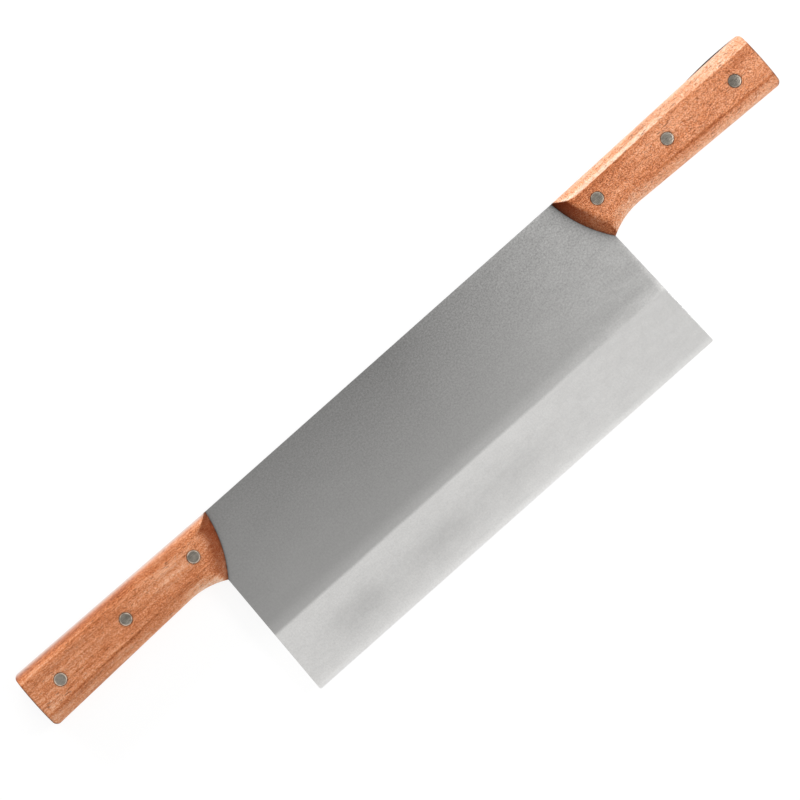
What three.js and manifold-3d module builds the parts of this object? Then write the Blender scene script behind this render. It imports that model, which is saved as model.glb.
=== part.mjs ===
// Double-handled cutting knife: one steel plate, ground to an edge along its lower side, with a full tang
// at each end. Each tang is covered by two wooden scales, held by three two-piece rivets.
// Lengths are in millimetres. X runs along the knife, Y from the cutting edge up to the spine, and Z is
// square to the blade. Shapes are drawn from the middle of the spine, in the blade's middle plane, and the
// finished knife is then set down flat with the origin under its middle.

import * as THREE from "three";
import { mergeVertices } from "three/addons/utils/BufferGeometryUtils.js";
import Module from "manifold-3d";

// Blade
const EDGE_LENGTH = 273.3; // along the cutting edge, corner to corner
const BLADE_HEIGHT = 109; // spine to cutting edge
const BLADE_THICKNESS = 3; // of the flat part and the tangs
const END_FLARE = 2; // how far each end leans out from the grip's hook to the edge
const EDGE_CORNER_RADIUS = 1;
const GRIND_HEIGHT = 36.9; // ground band, from the edge up to the grind line
const EDGE_BEVEL_HEIGHT = 2.2; // honed bevel along the edge
const EDGE_BEVEL_THICKNESS = 0.7; // plate left where the honed bevel starts
const EDGE_LAND = 0.1; // thickness of the edge itself

// Grip outline, shared by the tang and its scales. Depths are measured down from the spine.
const GRIP_LENGTH = 117.6; // hook tip to butt
const FRONT_REACH = 14.3; // how far the scales reach past the hook tip, at the spine
const FRONT_RADIUS = 71.6; // round front end of the scales
const HOOK_LENGTH = 21.5; // hollow between the hook tip and the straight belly
const HOOK_DEPTH = 34.5; // of the hook tip
const WAIST_DEPTH = 29.3; // of the belly where the hollow starts
const BUTT_DEPTH = 32.3; // of the belly at the butt
const BUTT_RISE = 1.8; // of the back above the spine, at the butt
const BUTT_BULGE = 0.6; // crown of the butt's end
const BUTT_CORNER_RADIUS = 2.8;

// Scales
const SCALE_THICKNESS = 9;
const BACK_FACET_WIDTH = 5.9; // facet along the back, seen from the front
const BELLY_FACET_WIDTH = 6.3; // facet along the belly, seen from the front
const FACET_DROP = 4.6; // from the flat face down to the side wall
const FACET_CROWN = 0.45; // swell of each facet
const FRONT_BEVEL_RUN = 7.9; // how far the front bevel slopes back at the flat face
const FRONT_FOOT = 0.8; // upright foot of the front bevel, on the blade
const GLUE_GAP = 0.05; // between scale and tang

// Rivets: a headed sleeve from the front and a headed pin pressed into it from the back
const RIVETS = ["inner", "middle", "outer"];
const INNER_RIVET_SETBACK = 5.5; // behind the hook tip
const OUTER_RIVET_SETBACK = 18.3; // ahead of the butt
const MIDDLE_RIVET_SHIFT = 0.8; // from halfway between the others, towards the butt
const INNER_RIVET_DEPTH = 13.6; // below the spine
const OUTER_RIVET_DEPTH = 15.4; // below the spine
const HEAD_DIAMETER = 7;
const HEAD_HEIGHT = 1.6;
const SLEEVE_DIAMETER = 5;
const PIN_DIAMETER = 3;
const HEAD_CLEARANCE = 0.15; // around a head in its counterbore
const SEAT_CLEARANCE = 0.05; // under a head
const SLEEVE_CLEARANCE = 0.15; // around a sleeve in its hole
const PIN_CLEARANCE = 0.1; // around a pin in its sleeve
const SLEEVE_END_GAP = 1; // between the sleeve's end and the pin's head
const PIN_END_GAP = 0.8; // between the pin's end and the bottom of the bore

// Fineness of round stretches
const ROUND_SEGMENTS = 32; // around a rivet
const FRONT_SEGMENTS = 160; // around the full circle of the front arc
const CURVE_STEPS = 8; // along a corner, the butt or half of the hook
const FACET_STEPS = 4; // across a facet

// Cutting tools run past what they cut
const OVERRUN = 2;
const HOOK_OVERRUN = 0.06; // radians, past the hook tip

// Places that follow from the sizes above, on the right grip
const hookX = EDGE_LENGTH / 2 - END_FLARE;
const frontX = hookX - FRONT_REACH;
const buttX = hookX + GRIP_LENGTH;
const halfBlade = BLADE_THICKNESS / 2;
const faceZ = halfBlade + GLUE_GAP + SCALE_THICKNESS;

const hookTip = new THREE.Vector2(hookX, -HOOK_DEPTH);
const waist = new THREE.Vector2(hookX + HOOK_LENGTH, -WAIST_DEPTH);
const buttBelly = new THREE.Vector2(buttX - BUTT_BULGE, -BUTT_DEPTH);
const frontTop = new THREE.Vector2(frontX, 0);

// The hook is an arc that runs into the straight belly at the waist and ends at the tip.
const bellyDirection = buttBelly.clone().sub(waist).normalize();
const bellyOutward = new THREE.Vector2(bellyDirection.y, -bellyDirection.x);
const waistToTip = hookTip.clone().sub(waist);
const hookRadius = waistToTip.lengthSq() / (2 * waistToTip.dot(bellyOutward));
const hookCentre = waist.clone().addScaledVector(bellyOutward, hookRadius);
const hookStart = waist.clone().sub(hookCentre).angle();
const hookEnd = hookTip.clone().sub(hookCentre).angle();

// The front arc joins the spine to the hook tip and swells towards the blade.
const frontChord = hookTip.clone().sub(frontTop);
const frontSide = new THREE.Vector2(-frontChord.y, frontChord.x).normalize();
const frontCentre = frontTop
  .clone()
  .addScaledVector(frontChord, 0.5)
  .addScaledVector(frontSide, Math.sqrt(FRONT_RADIUS ** 2 - frontChord.lengthSq() / 4));

const wasm = await Module();
wasm.setup();

// A closed geometry as a solid that can be joined and cut
function toSolid(geometry) {
  const bare = geometry.clone();
  bare.deleteAttribute("normal");
  bare.deleteAttribute("uv");
  const merged = mergeVertices(bare);
  return new wasm.Manifold(
    new wasm.Mesh({
      numProp: 3,
      vertProperties: new Float32Array(merged.attributes.position.array),
      triVerts: new Uint32Array(merged.index.array),
    }),
  );
}

// A cut solid as a geometry again
function toGeometry(solid) {
  const mesh = solid.getMesh();
  const geometry = new THREE.BufferGeometry();
  geometry.setAttribute("position", new THREE.BufferAttribute(mesh.vertProperties, 3));
  geometry.setIndex(new THREE.BufferAttribute(mesh.triVerts, 1));
  geometry.computeVertexNormals();
  return geometry;
}

// A turned shape around a line parallel to Z, from pairs of radius and height given upwards
function turned(profile, segments = ROUND_SEGMENTS) {
  const points = profile.map(([radius, height]) => new THREE.Vector2(radius, height));
  return new THREE.LatheGeometry(points, segments).rotateX(Math.PI / 2);
}

// A skin over a stack of outlines with one point count, counter-clockwise and rising, closed by flat caps
function loft(layers) {
  const count = layers[0].points.length;
  const corners = layers.flatMap(({ points, z }) => points.map(({ x, y }) => new THREE.Vector3(x, y, z)));
  const geometry = new THREE.BufferGeometry().setFromPoints(corners);
  const index = [];
  for (let layer = 0; layer < layers.length - 1; layer += 1) {
    for (let point = 0; point < count; point += 1) {
      const here = layer * count + point;
      const next = layer * count + ((point + 1) % count);
      index.push(here, next, next + count, here, next + count, here + count);
    }
  }
  const top = (layers.length - 1) * count;
  for (const [a, b, c] of THREE.ShapeUtils.triangulateShape(layers[0].points, [])) {
    index.push(c, b, a);
  }
  for (const [a, b, c] of THREE.ShapeUtils.triangulateShape(layers.at(-1).points, [])) {
    index.push(top + a, top + b, top + c);
  }
  return geometry.setIndex(index);
}

// Height of the grip's straight back above the spine
function backY(x) {
  return (BUTT_RISE * (x - frontX)) / (buttX - frontX);
}

// Where the rivets of the right grip sit
function rivetCentre(place) {
  const inner = new THREE.Vector2(hookX + INNER_RIVET_SETBACK, -INNER_RIVET_DEPTH);
  const outer = new THREE.Vector2(buttX - OUTER_RIVET_SETBACK, -OUTER_RIVET_DEPTH);
  const middle = inner.clone().lerp(outer, 0.5);
  middle.x += MIDDLE_RIVET_SHIFT;
  return { inner, middle, outer }[place];
}

// Draw the back, the round-cornered butt and the belly of the right grip, each drawn in by its inset.
// The path runs from the back's front end and stops at the given angle of the hook.
function drawGrip(path, backInset, bellyInset, hookStop) {
  const endX = buttBelly.x;
  const cornerX = endX - BUTT_CORNER_RADIUS;
  const top = backY(endX) - backInset;
  const bottom = buttBelly.y + bellyInset;
  const middle = (top + bottom) / 2;
  const cornerBelly = buttBelly.clone().addScaledVector(bellyDirection, -BUTT_CORNER_RADIUS);
  path.lineTo(cornerX, backY(cornerX) - backInset);
  path.quadraticCurveTo(endX, top, endX, top - BUTT_CORNER_RADIUS);
  path.quadraticCurveTo(endX + 2 * BUTT_BULGE, middle, endX, bottom + BUTT_CORNER_RADIUS);
  path.quadraticCurveTo(endX, bottom, cornerBelly.x, cornerBelly.y + bellyInset);
  path.absarc(hookCentre.x, hookCentre.y, hookRadius + bellyInset, hookStart, hookStop, false);
}

// Outline of a scale before its front end is cut, drawn in towards the flat face
function scaleOutline(backInset, bellyInset) {
  const startX = frontCentre.x - FRONT_RADIUS - OVERRUN;
  const path = new THREE.Path();
  path.moveTo(startX, backY(startX) - backInset);
  drawGrip(path, backInset, bellyInset, hookEnd + HOOK_OVERRUN);
  path.lineTo(startX, path.currentPoint.y);
  return path.getPoints(CURVE_STEPS).reverse();
}

// Everything in front of the front bevel: a slab with a cone on a low drum taken out of it
function frontCutter() {
  const slope = FRONT_BEVEL_RUN / (SCALE_THICKNESS - FRONT_FOOT);
  const low = -OVERRUN;
  const high = SCALE_THICKNESS + OVERRUN;
  const profile = [
    [0, low - OVERRUN],
    [FRONT_RADIUS, low - OVERRUN],
    [FRONT_RADIUS, FRONT_FOOT],
    [FRONT_RADIUS - slope * (high + OVERRUN - FRONT_FOOT), high + OVERRUN],
    [0, high + OVERRUN],
  ];
  const cone = turned(profile, FRONT_SEGMENTS).translate(frontCentre.x, frontCentre.y, 0);
  const startX = frontCentre.x - FRONT_RADIUS - 2 * OVERRUN;
  const size = new THREE.Vector3(frontCentre.x - startX, 2 * FRONT_RADIUS, high - low);
  const slab = new THREE.BoxGeometry(size.x, size.y, size.z);
  slab.translate(startX + size.x / 2, frontCentre.y, (low + high) / 2);
  return toSolid(slab).subtract(toSolid(cone));
}

// Hole for a rivet through a scale, with the counterbore for its head
function rivetCutter(centre) {
  const hole = SLEEVE_DIAMETER / 2 + SLEEVE_CLEARANCE;
  const seat = SCALE_THICKNESS - HEAD_HEIGHT - SEAT_CLEARANCE;
  const counterbore = HEAD_DIAMETER / 2 + HEAD_CLEARANCE;
  const profile = [
    [0, -OVERRUN],
    [hole, -OVERRUN],
    [hole, seat],
    [counterbore, seat],
    [counterbore, SCALE_THICKNESS + OVERRUN],
    [0, SCALE_THICKNESS + OVERRUN],
  ];
  return toSolid(turned(profile).translate(centre.x, centre.y, 0));
}

// One scale of the right grip, from its glued face up to its flat outer face
function scaleGeometry() {
  const layers = [{ points: scaleOutline(0, 0), z: 0 }];
  for (let step = 0; step <= FACET_STEPS; step += 1) {
    const across = step / FACET_STEPS;
    const crown = 4 * FACET_CROWN * across * (1 - across);
    layers.push({
      points: scaleOutline(BACK_FACET_WIDTH * across, BELLY_FACET_WIDTH * across),
      z: SCALE_THICKNESS - FACET_DROP * (1 - across) + crown,
    });
  }
  let scale = toSolid(loft(layers)).subtract(frontCutter());
  for (const place of RIVETS) {
    scale = scale.subtract(rivetCutter(rivetCentre(place)));
  }
  return toGeometry(scale);
}

// Plate outline: spine, both tangs, both ends and the edge
function bladeOutline() {
  const half = new THREE.Path();
  const edgeCorner = new THREE.Vector2(EDGE_LENGTH / 2, -BLADE_HEIGHT);
  const upTheEnd = hookTip.clone().sub(edgeCorner).setLength(EDGE_CORNER_RADIUS).add(edgeCorner);
  half.moveTo(frontTop.x, frontTop.y);
  drawGrip(half, 0, 0, hookEnd);
  half.lineTo(upTheEnd.x, upTheEnd.y);
  half.quadraticCurveTo(edgeCorner.x, edgeCorner.y, edgeCorner.x - EDGE_CORNER_RADIUS, edgeCorner.y);
  const right = half.getPoints(CURVE_STEPS);
  const left = right.map(({ x, y }) => new THREE.Vector2(-x, y)).reverse();
  return new THREE.Shape([...right, ...left]);
}

// Cross-section of the plate, from the back of the grips down to the edge
function bladeSection() {
  const frontHalf = [
    [BUTT_RISE + OVERRUN, halfBlade],
    [GRIND_HEIGHT - BLADE_HEIGHT, halfBlade],
    [EDGE_BEVEL_HEIGHT - BLADE_HEIGHT, EDGE_BEVEL_THICKNESS / 2],
    [-BLADE_HEIGHT, EDGE_LAND / 2],
  ];
  const backHalf = frontHalf.map(([y, z]) => [y, -z]).reverse();
  return new THREE.Shape([...frontHalf, ...backHalf].map(([y, z]) => new THREE.Vector2(y, z)));
}

// Hole for a rivet's sleeve through a tang
function tangCutter(x, y) {
  const hole = SLEEVE_DIAMETER / 2 + SLEEVE_CLEARANCE;
  const reach = halfBlade + OVERRUN;
  const profile = [
    [0, -reach],
    [hole, -reach],
    [hole, reach],
    [0, reach],
  ];
  return toSolid(turned(profile).translate(x, y, 0));
}

// The plate is its outline, as thick as its cross-section allows, with the rivet holes cut through.
function bladeGeometry() {
  const plateDepth = BLADE_THICKNESS + 2 * OVERRUN;
  const plate = new THREE.ExtrudeGeometry(bladeOutline(), { depth: plateDepth, bevelEnabled: false });
  plate.translate(0, 0, -plateDepth / 2);
  const sectionLength = 2 * (buttX + OVERRUN);
  const section = new THREE.ExtrudeGeometry(bladeSection(), { depth: sectionLength, bevelEnabled: false });
  section.applyMatrix4(
    new THREE.Matrix4().makeBasis(
      new THREE.Vector3(0, 1, 0),
      new THREE.Vector3(0, 0, 1),
      new THREE.Vector3(1, 0, 0),
    ),
  );
  section.translate(-sectionLength / 2, 0, 0);
  let blade = toSolid(plate).intersect(toSolid(section));
  for (const place of RIVETS) {
    const { x, y } = rivetCentre(place);
    blade = blade.subtract(tangCutter(x, y)).subtract(tangCutter(-x, y));
  }
  return toGeometry(blade);
}

// Front half of a rivet: a head flush with the scale and a sleeve that reaches almost to the other head
function sleeveGeometry() {
  const head = HEAD_DIAMETER / 2;
  const sleeve = SLEEVE_DIAMETER / 2;
  const bore = PIN_DIAMETER / 2 + PIN_CLEARANCE;
  const headSeat = faceZ - HEAD_HEIGHT;
  const end = SLEEVE_END_GAP - headSeat;
  return turned([
    [0, headSeat],
    [bore, headSeat],
    [bore, end],
    [sleeve, end],
    [sleeve, headSeat],
    [head, headSeat],
    [head, faceZ],
    [0, faceZ],
  ]);
}

// Back half of a rivet: a head flush with the scale and a pin that fills the sleeve
function pinGeometry() {
  const head = HEAD_DIAMETER / 2;
  const pin = PIN_DIAMETER / 2;
  const headSeat = faceZ - HEAD_HEIGHT;
  return turned([
    [0, -faceZ],
    [head, -faceZ],
    [head, -headSeat],
    [pin, -headSeat],
    [pin, headSeat - PIN_END_GAP],
    [0, headSeat - PIN_END_GAP],
  ]);
}

function groundSteel() {
  return new THREE.MeshStandardMaterial({ color: 0xa6a5a3, roughness: 0.45, metalness: 1 });
}

function rivetSteel() {
  return new THREE.MeshStandardMaterial({ color: 0x8f8e86, roughness: 0.4, metalness: 1 });
}

function oiledWood() {
  return new THREE.MeshStandardMaterial({ color: 0xc9825a, roughness: 0.55, metalness: 0 });
}

function namedMesh(name, geometry, material) {
  const mesh = new THREE.Mesh(geometry, material);
  mesh.name = name;
  return mesh;
}

// Both scales and the three rivets of one grip, drawn for the right-hand end
function grip(side) {
  const group = new THREE.Group();
  const frontScale = namedMesh(`${side}_front_scale`, scaleGeometry(), oiledWood());
  frontScale.position.z = halfBlade + GLUE_GAP;
  const backScale = namedMesh(`${side}_back_scale`, scaleGeometry(), oiledWood());
  backScale.position.z = -frontScale.position.z;
  backScale.scale.z = -1;
  group.add(frontScale, backScale);
  for (const place of RIVETS) {
    const rivet = new THREE.Group();
    const { x, y } = rivetCentre(place);
    rivet.position.set(x, y, 0);
    rivet.add(namedMesh(`${side}_${place}_rivet_sleeve`, sleeveGeometry(), rivetSteel()));
    rivet.add(namedMesh(`${side}_${place}_rivet_pin`, pinGeometry(), rivetSteel()));
    group.add(rivet);
  }
  return group;
}

const knife = new THREE.Group();
knife.add(namedMesh("blade", bladeGeometry(), groundSteel()));
knife.add(grip("right"));
const leftGrip = grip("left");
leftGrip.scale.x = -1;
knife.add(leftGrip);

// Set the knife down flat, with the origin under the middle of its outline.
const reach = new THREE.Box3().setFromObject(knife);
const centre = reach.getCenter(new THREE.Vector3());
knife.position.set(-centre.x, -centre.y, -reach.min.z);

export default knife;
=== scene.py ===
import math
from functools import partialmethod

import bmesh
import bpy
import numpy as np
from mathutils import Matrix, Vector


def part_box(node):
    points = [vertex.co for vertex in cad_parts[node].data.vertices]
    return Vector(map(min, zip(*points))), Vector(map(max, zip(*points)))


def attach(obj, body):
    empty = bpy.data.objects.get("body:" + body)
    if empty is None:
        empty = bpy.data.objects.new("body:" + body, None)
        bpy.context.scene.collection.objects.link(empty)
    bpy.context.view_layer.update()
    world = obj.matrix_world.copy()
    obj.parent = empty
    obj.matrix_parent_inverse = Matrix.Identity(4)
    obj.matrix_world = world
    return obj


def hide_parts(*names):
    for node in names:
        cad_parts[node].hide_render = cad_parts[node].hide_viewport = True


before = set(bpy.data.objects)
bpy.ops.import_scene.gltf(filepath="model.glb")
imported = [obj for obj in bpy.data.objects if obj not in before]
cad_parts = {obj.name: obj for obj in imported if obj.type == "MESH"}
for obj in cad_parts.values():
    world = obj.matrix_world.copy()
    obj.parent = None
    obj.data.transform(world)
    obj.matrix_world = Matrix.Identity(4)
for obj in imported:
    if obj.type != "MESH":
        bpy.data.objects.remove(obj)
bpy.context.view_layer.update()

MM = 0.001  # sizes below are in millimetres unless they say otherwise
SIDES = {"left": -1, "right": 1}
FACES = {"front": 1, "back": -1}
RIVETS = ("inner", "middle", "outer")

# Blade
BLADE_HEIGHT = 109.0
EDGE_LENGTH = 273.3
END_FLARE = 2.0
EDGE_CORNER_RADIUS = 1.0
GRIND_HEIGHT = 36.9
GRIND_SOFTNESS = 0.05  # rounding of the grind line, as a blend of half thicknesses
EDGE_BEVEL_HEIGHT = 2.2
EDGE_BEVEL_THICKNESS = 0.7
EDGE_LAND = 0.1
EDGE_SOFTNESS = 0.12  # rounding of the honed bevel's upper line, likewise
EASED_EDGE = 0.18  # rounding of the spine and the blade's ends
EASED_STEPS = 3
PROUD_TANG = (214.0, 248.5)  # stretch of the right tang's back that stands out from between the scales
PROUD_HEIGHT = 0.65

# Grip outline, with depths below the spine
FRONT_RADIUS = 71.6
HOOK_LENGTH = 21.5
WAIST_DEPTH = 29.3
BUTT_DEPTH = 32.3
BUTT_RISE = 1.8
BUTT_BULGE = 0.6
BUTT_CORNER_RADIUS = 2.8

# Scales
SCALE_THICKNESS = 9.0
BACK_FACET_WIDTH = 5.9
BELLY_FACET_WIDTH = 6.3
FACET_DROP = 4.6
FACET_CROWN = 0.45
BELLY_BLEND = 0.5  # rounding of the belly ridge
FACET_TIP = 0.02  # least share of the back facet's start, so that it never closes up
FACE_START = 0.5  # share of the back facet's width at which the flat face begins to count
FRONT_FOOT = 0.8
SIDE_EASE = (1.7, 0.95)  # width and drop of the worn edge between facet and side wall
BUTT_EASE = (0.8, 0.45)  # the same along the butt
FOOT_EASE = (0.6, 0.3)  # the same at the foot of the front bevel
THINNEST_WOOD = 0.3
WANDER_LENGTH = 17.5  # of the slow waves that a hand leaves in a ridge

# How each grip was shaped and worn by hand, and the light and shade painted on it. A blend is the rounding of
# a ridge, from crisp to soft.
LOOKS = {
    "left": {
        "ridge_depth": 4.4,  # of the ridge between back facet and flat face, below the spine
        "facet_start": 4.0,  # length over which the back facet widens from the front tip
        "ridge_blend": (2.6, 0.5),  # of the back facet, at the front and at the butt
        # width of the front bevel, at depths below the spine
        "bevel_run": ([0, 6, 20, 37], [0.8, 10.5, 10.0, 9.0]),
        "bevel_last_slope": 0.4,  # share of its mean slope that the bevel has at its ridge
        "bevel_blend": (0.4, 3.0),  # at the back facet and on the flat face
        "bevel_fade": (0.6, 3.2),  # height over which its bare wood gives way to the finished faces, likewise
        # share of the end-grain colour, deepened as painted shade on the bevel, at shares of the way from the
        # spine to the hook tip
        "bevel_end_grain_and_shade": ([0, 0.3, 0.7, 1], [0.56, 0.74, 0.6, 0.4]),
        "wander": (0.15, 0.4),  # reach and phase of the slow waves in its ridges
        # paleness across the back facet, partly pale wood and partly painted light, with a painted highlight
        # along the ridge, from the outline at 0 to the ridge at 1, and past it, at shares of the grip's
        # length
        "back_pale_and_highlight": {
            0.15: ([0, 0.2, 0.4, 0.6, 1], [0.45, 0.35, 0.2, 0.1, 0]),
            0.30: ([0, 0.2, 0.4, 0.6, 1, 2, 4, 5], [0.45, 0.35, 0.2, 0.05, -0.1, 0.4, 0.4, 0]),
            0.50: ([0, 0.4, 0.6, 0.9, 1.1, 1.4], [-0.3, -0.55, -0.6, -0.45, -0.25, 0]),
            0.75: ([0, 0.5, 0.69, 0.87, 1.05, 1.2], [-0.8, -0.75, -0.2, 0.4, -0.5, 0]),
        },
        "rub_and_sheen_back": (1.5, 0.8),  # share of the pale colour of rubbed wood with painted sheen at the back outline, and its reach
        # painted light on the belly facet, strongest at the outline
        "belly_painted_light": 0.5,
        "pale_hook": 1.3,  # on the belly facet near the hook tip
        "ridge_shade": 0.9,  # painted shade along the belly ridge, on the paleness scale
        "foot_shade": (1.0, 1.2),  # painted shade at the bevel's foot, at the spine and at the hook tip
        "foot_reach": 0.9,
        "hook_oil": 0.0,  # darkening of the oil-soaked wood near the hook tip, on the paleness scale
    },
    "right": {
        "ridge_depth": 4.9,
        "facet_start": 12.0,
        "ridge_blend": (0.35, 0.35),
        "bevel_run": ([0, 4.2, 15, 26, 37], [0.8, 6.4, 8.1, 6.8, 6.8]),
        "bevel_last_slope": 0.6,
        "bevel_blend": (0.3, 1.2),
        "bevel_fade": (0.6, 1.4),
        "bevel_end_grain_and_shade": ([0, 0.4, 0.7, 1], [0.98, 0.74, 0.34, 0.08]),
        "wander": (0.35, 0.02),
        "back_pale_and_highlight": {
            0.35: ([0, 0.4, 0.6, 0.7, 0.98, 1.04, 4, 5], [0.8, 0.75, 0.95, 2.5, 2.7, -0.35, -0.35, 0]),
            0.60: ([0, 0.5, 0.7, 0.94, 1.0, 2, 4, 5], [0.75, 0.7, 0.8, 0.95, 0, 0.2, 0.2, 0]),
            0.95: ([0, 0.5, 0.7, 0.94, 1.0, 1.5, 2.2], [0.9, 0.85, 0.95, 1.1, -0.4, -0.4, 0]),
        },
        "rub_and_sheen_back": (0.25, 0.6),
        # painted light on the belly facet, strongest at the outline
        "belly_painted_light": 0.9,
        "pale_hook": 0.7,
        "ridge_shade": 1.0,
        "foot_shade": (1.7, 0.7),
        "foot_reach": 1.4,
        "hook_oil": 0.75,
    },
}
BELLY_LIGHT_POWER = 1.5  # gathers the belly's painted light along the outline
HOOK_OIL_REACH = 9.0
RIVET_GAP_SHADE_REACH = 0.5  # how far from a rivet the painted shade of its gap reaches
# depth of the painted shade round each rivet
RIVET_GAP_SHADE = 0.5
RIDGE_SHADE_WIDTH = 0.8
RIDGE_SHADE_START = (0.3, 0.5)  # shares of the grip's length between which the painted ridge shade comes in
BUTT_SHADE = (1.2, 0.55)  # share and width of the painted shade line along the butt, below the back facet

# Rivets
HEAD_HEIGHT = 1.6
SLEEVE_DIAMETER = 5.0
PIN_DIAMETER = 3.0
HEAD_CLEARANCE = 0.22
HOLE_CLEARANCE = 0.15
PIN_CLEARANCE = 0.22
HEAD_CHAMFER = 0.15
HEAD_DOME = 0.12
DOME_RINGS = (0.5, 0.25)  # shares of the head's radius
RIM_WIDTH = 0.75  # of the rim that carries a painted highlight
RIM_FADE = 0.3
# strength of the painted highlight on the rims, stronger on the left
RIM_HIGHLIGHT = {"left": 0.85, "right": 0.35}
RIVET_SHADES = {("right", "outer"): 0.7, ("left", "outer"): 1.2}  # share of the usual brightness: painted shade on the right outer rivet, painted light on the left outer one

# Photograph: how it frames the knife
PHOTO_PIXELS = 800
PIXEL_SIZE = 0.52  # millimetres of the object for one pixel
PHOTO_TURN = math.radians(41.6)  # how far the knife's length is turned up from the picture's rows
VIEW_CENTRE = (-5.9, -23.9)  # what lies in the middle of the picture, from the middle of the spine
LENS = 400.0
SENSOR = 36.0

# Places in the frame, in millimetres
blade_low, blade_high = (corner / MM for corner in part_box("blade"))
scale_low, scale_high = (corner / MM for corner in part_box("right_front_scale"))
SPINE_Y = blade_low.y + BLADE_HEIGHT
MIDDLE_Z = (blade_low.z + blade_high.z) / 2
HALF_BLADE = (blade_high.z - blade_low.z) / 2
GLUED_Z = scale_low.z - MIDDLE_Z
FACE_Z = scale_high.z - MIDDLE_Z
SEAT_Z = FACE_Z - HEAD_HEIGHT
BUTT_X = blade_high.x
FRONT_X = scale_low.x
HOOK_X = EDGE_LENGTH / 2 - END_FLARE
HOOK_DEPTH = SPINE_Y - scale_low.y

hook_tip = np.array([HOOK_X, -HOOK_DEPTH])
waist = np.array([HOOK_X + HOOK_LENGTH, -WAIST_DEPTH])
butt_belly = np.array([BUTT_X - BUTT_BULGE, -BUTT_DEPTH])
front_top = np.array([FRONT_X, 0.0])

belly_direction = (butt_belly - waist) / np.linalg.norm(butt_belly - waist)
belly_outward = np.array([belly_direction[1], -belly_direction[0]])
hook_radius = np.dot(hook_tip - waist, hook_tip - waist) / (2 * np.dot(hook_tip - waist, belly_outward))
hook_centre = waist + belly_outward * hook_radius

front_chord = hook_tip - front_top
front_side = np.array([-front_chord[1], front_chord[0]]) / np.linalg.norm(front_chord)
front_rise = math.sqrt(FRONT_RADIUS**2 - np.dot(front_chord, front_chord) / 4)
front_centre = front_top + front_chord / 2 + front_side * front_rise


def rivet_place(side, place):
    """Centre of a rivet, drawn as for the right-hand end, and the radius of its head."""
    low, high = (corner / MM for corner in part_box(f"{side}_{place}_rivet_sleeve"))
    centre = (low + high) / 2
    return (abs(centre.x), centre.y - SPINE_Y), (high.x - low.x) / 2


# Outlines and heights of the grips, drawn for the right-hand end from the middle of the spine


def between(pair, share):
    return pair[0] + (pair[1] - pair[0]) * share


def arch(share):
    """A rise from 0 at both ends to 1 in the middle."""
    return 4 * share * (1 - share)


def bell(distance, width):
    return np.exp(-((distance / width) ** 2))


def falling(distance, reach):
    """From 1 at a border down to 0 away from it."""
    return np.exp(-np.clip(distance, 0, None) / reach)


def smooth_min(a, b, blend):
    """The lower of two heights, with their meeting line rounded off."""
    share = np.clip(0.5 + 0.5 * (b - a) / blend, 0, 1)
    return b + (a - b) * share - blend * share * (1 - share)


def back_y(x):
    return BUTT_RISE * (x - FRONT_X) / (BUTT_X - FRONT_X)


def belly_y(x):
    straight = waist[1] + (x - waist[0]) * belly_direction[1] / belly_direction[0]
    across = np.clip(x - hook_centre[0], hook_tip[0] - hook_centre[0], 0)
    hollow = hook_centre[1] + np.sqrt(hook_radius**2 - across**2)
    return np.where(x > waist[0], straight, hollow)


def front_x(y):
    return front_centre[0] - np.sqrt(FRONT_RADIUS**2 - (y - front_centre[1]) ** 2)


def corner_inset(distance, radius):
    """How far a rounded corner stands back, at a distance from the side that it runs into."""
    reach = np.clip(radius - distance, 0, radius)
    return radius - np.sqrt(radius**2 - reach**2)


def butt_x(y):
    middle = (BUTT_RISE - BUTT_DEPTH) / 2
    half = (BUTT_RISE + BUTT_DEPTH) / 2
    bulge = BUTT_BULGE * ((y - middle) / half) ** 2
    upper = corner_inset(BUTT_RISE - y, BUTT_CORNER_RADIUS)
    lower = corner_inset(y + BUTT_DEPTH, BUTT_CORNER_RADIUS)
    return BUTT_X - bulge - upper - lower


def along_grip(x):
    return np.clip((x - FRONT_X) / (BUTT_X - FRONT_X), 0, 1)


def belly_distance(x, y):
    straight = (waist[0] - x) * belly_outward[0] + (waist[1] - y) * belly_outward[1]
    hollow = np.hypot(x - hook_centre[0], y - hook_centre[1]) - hook_radius
    return np.where(x > waist[0], straight, hollow)


def front_distance(x, y):
    before_centre = np.minimum(x - front_centre[0], 0)
    return FRONT_RADIUS - np.hypot(before_centre, y - front_centre[1])


def away_from_back(x, y):
    """From 0 on the back facet to 1 on the flat face."""
    return np.clip((back_y(x) - y) / BACK_FACET_WIDTH - FACE_START, 0, 1)


def wander(x, look):
    reach, phase = look["wander"]
    return reach * np.sin(x / WANDER_LENGTH + phase)


def back_facet_width(x, look):
    """The ridge runs level below the spine and curves up to the outline at the front tip."""
    start = np.clip((x - FRONT_X) / look["facet_start"], FACET_TIP, 1)
    return back_y(x) + (look["ridge_depth"] + wander(x, look)) * np.sqrt(start)


def facet_height(distance, width, usual_width):
    """Height of a crowned facet at a distance in from the outline."""
    crown = FACET_CROWN * np.clip(arch(distance / width), 0, None) * width / usual_width
    return SCALE_THICKNESS - FACET_DROP * (width - distance) / usual_width + crown


def finished_height(x, y, look):
    """Height of the flat face and both facets, without the front bevel."""
    back = facet_height(back_y(x) - y, back_facet_width(x, look), BACK_FACET_WIDTH)
    roof = smooth_min(SCALE_THICKNESS, back, between(look["ridge_blend"], along_grip(x)))
    belly_width = BELLY_FACET_WIDTH - wander(x, look)
    belly = facet_height(belly_distance(x, y), belly_width, BELLY_FACET_WIDTH)
    return smooth_min(roof, belly, BELLY_BLEND)


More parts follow.
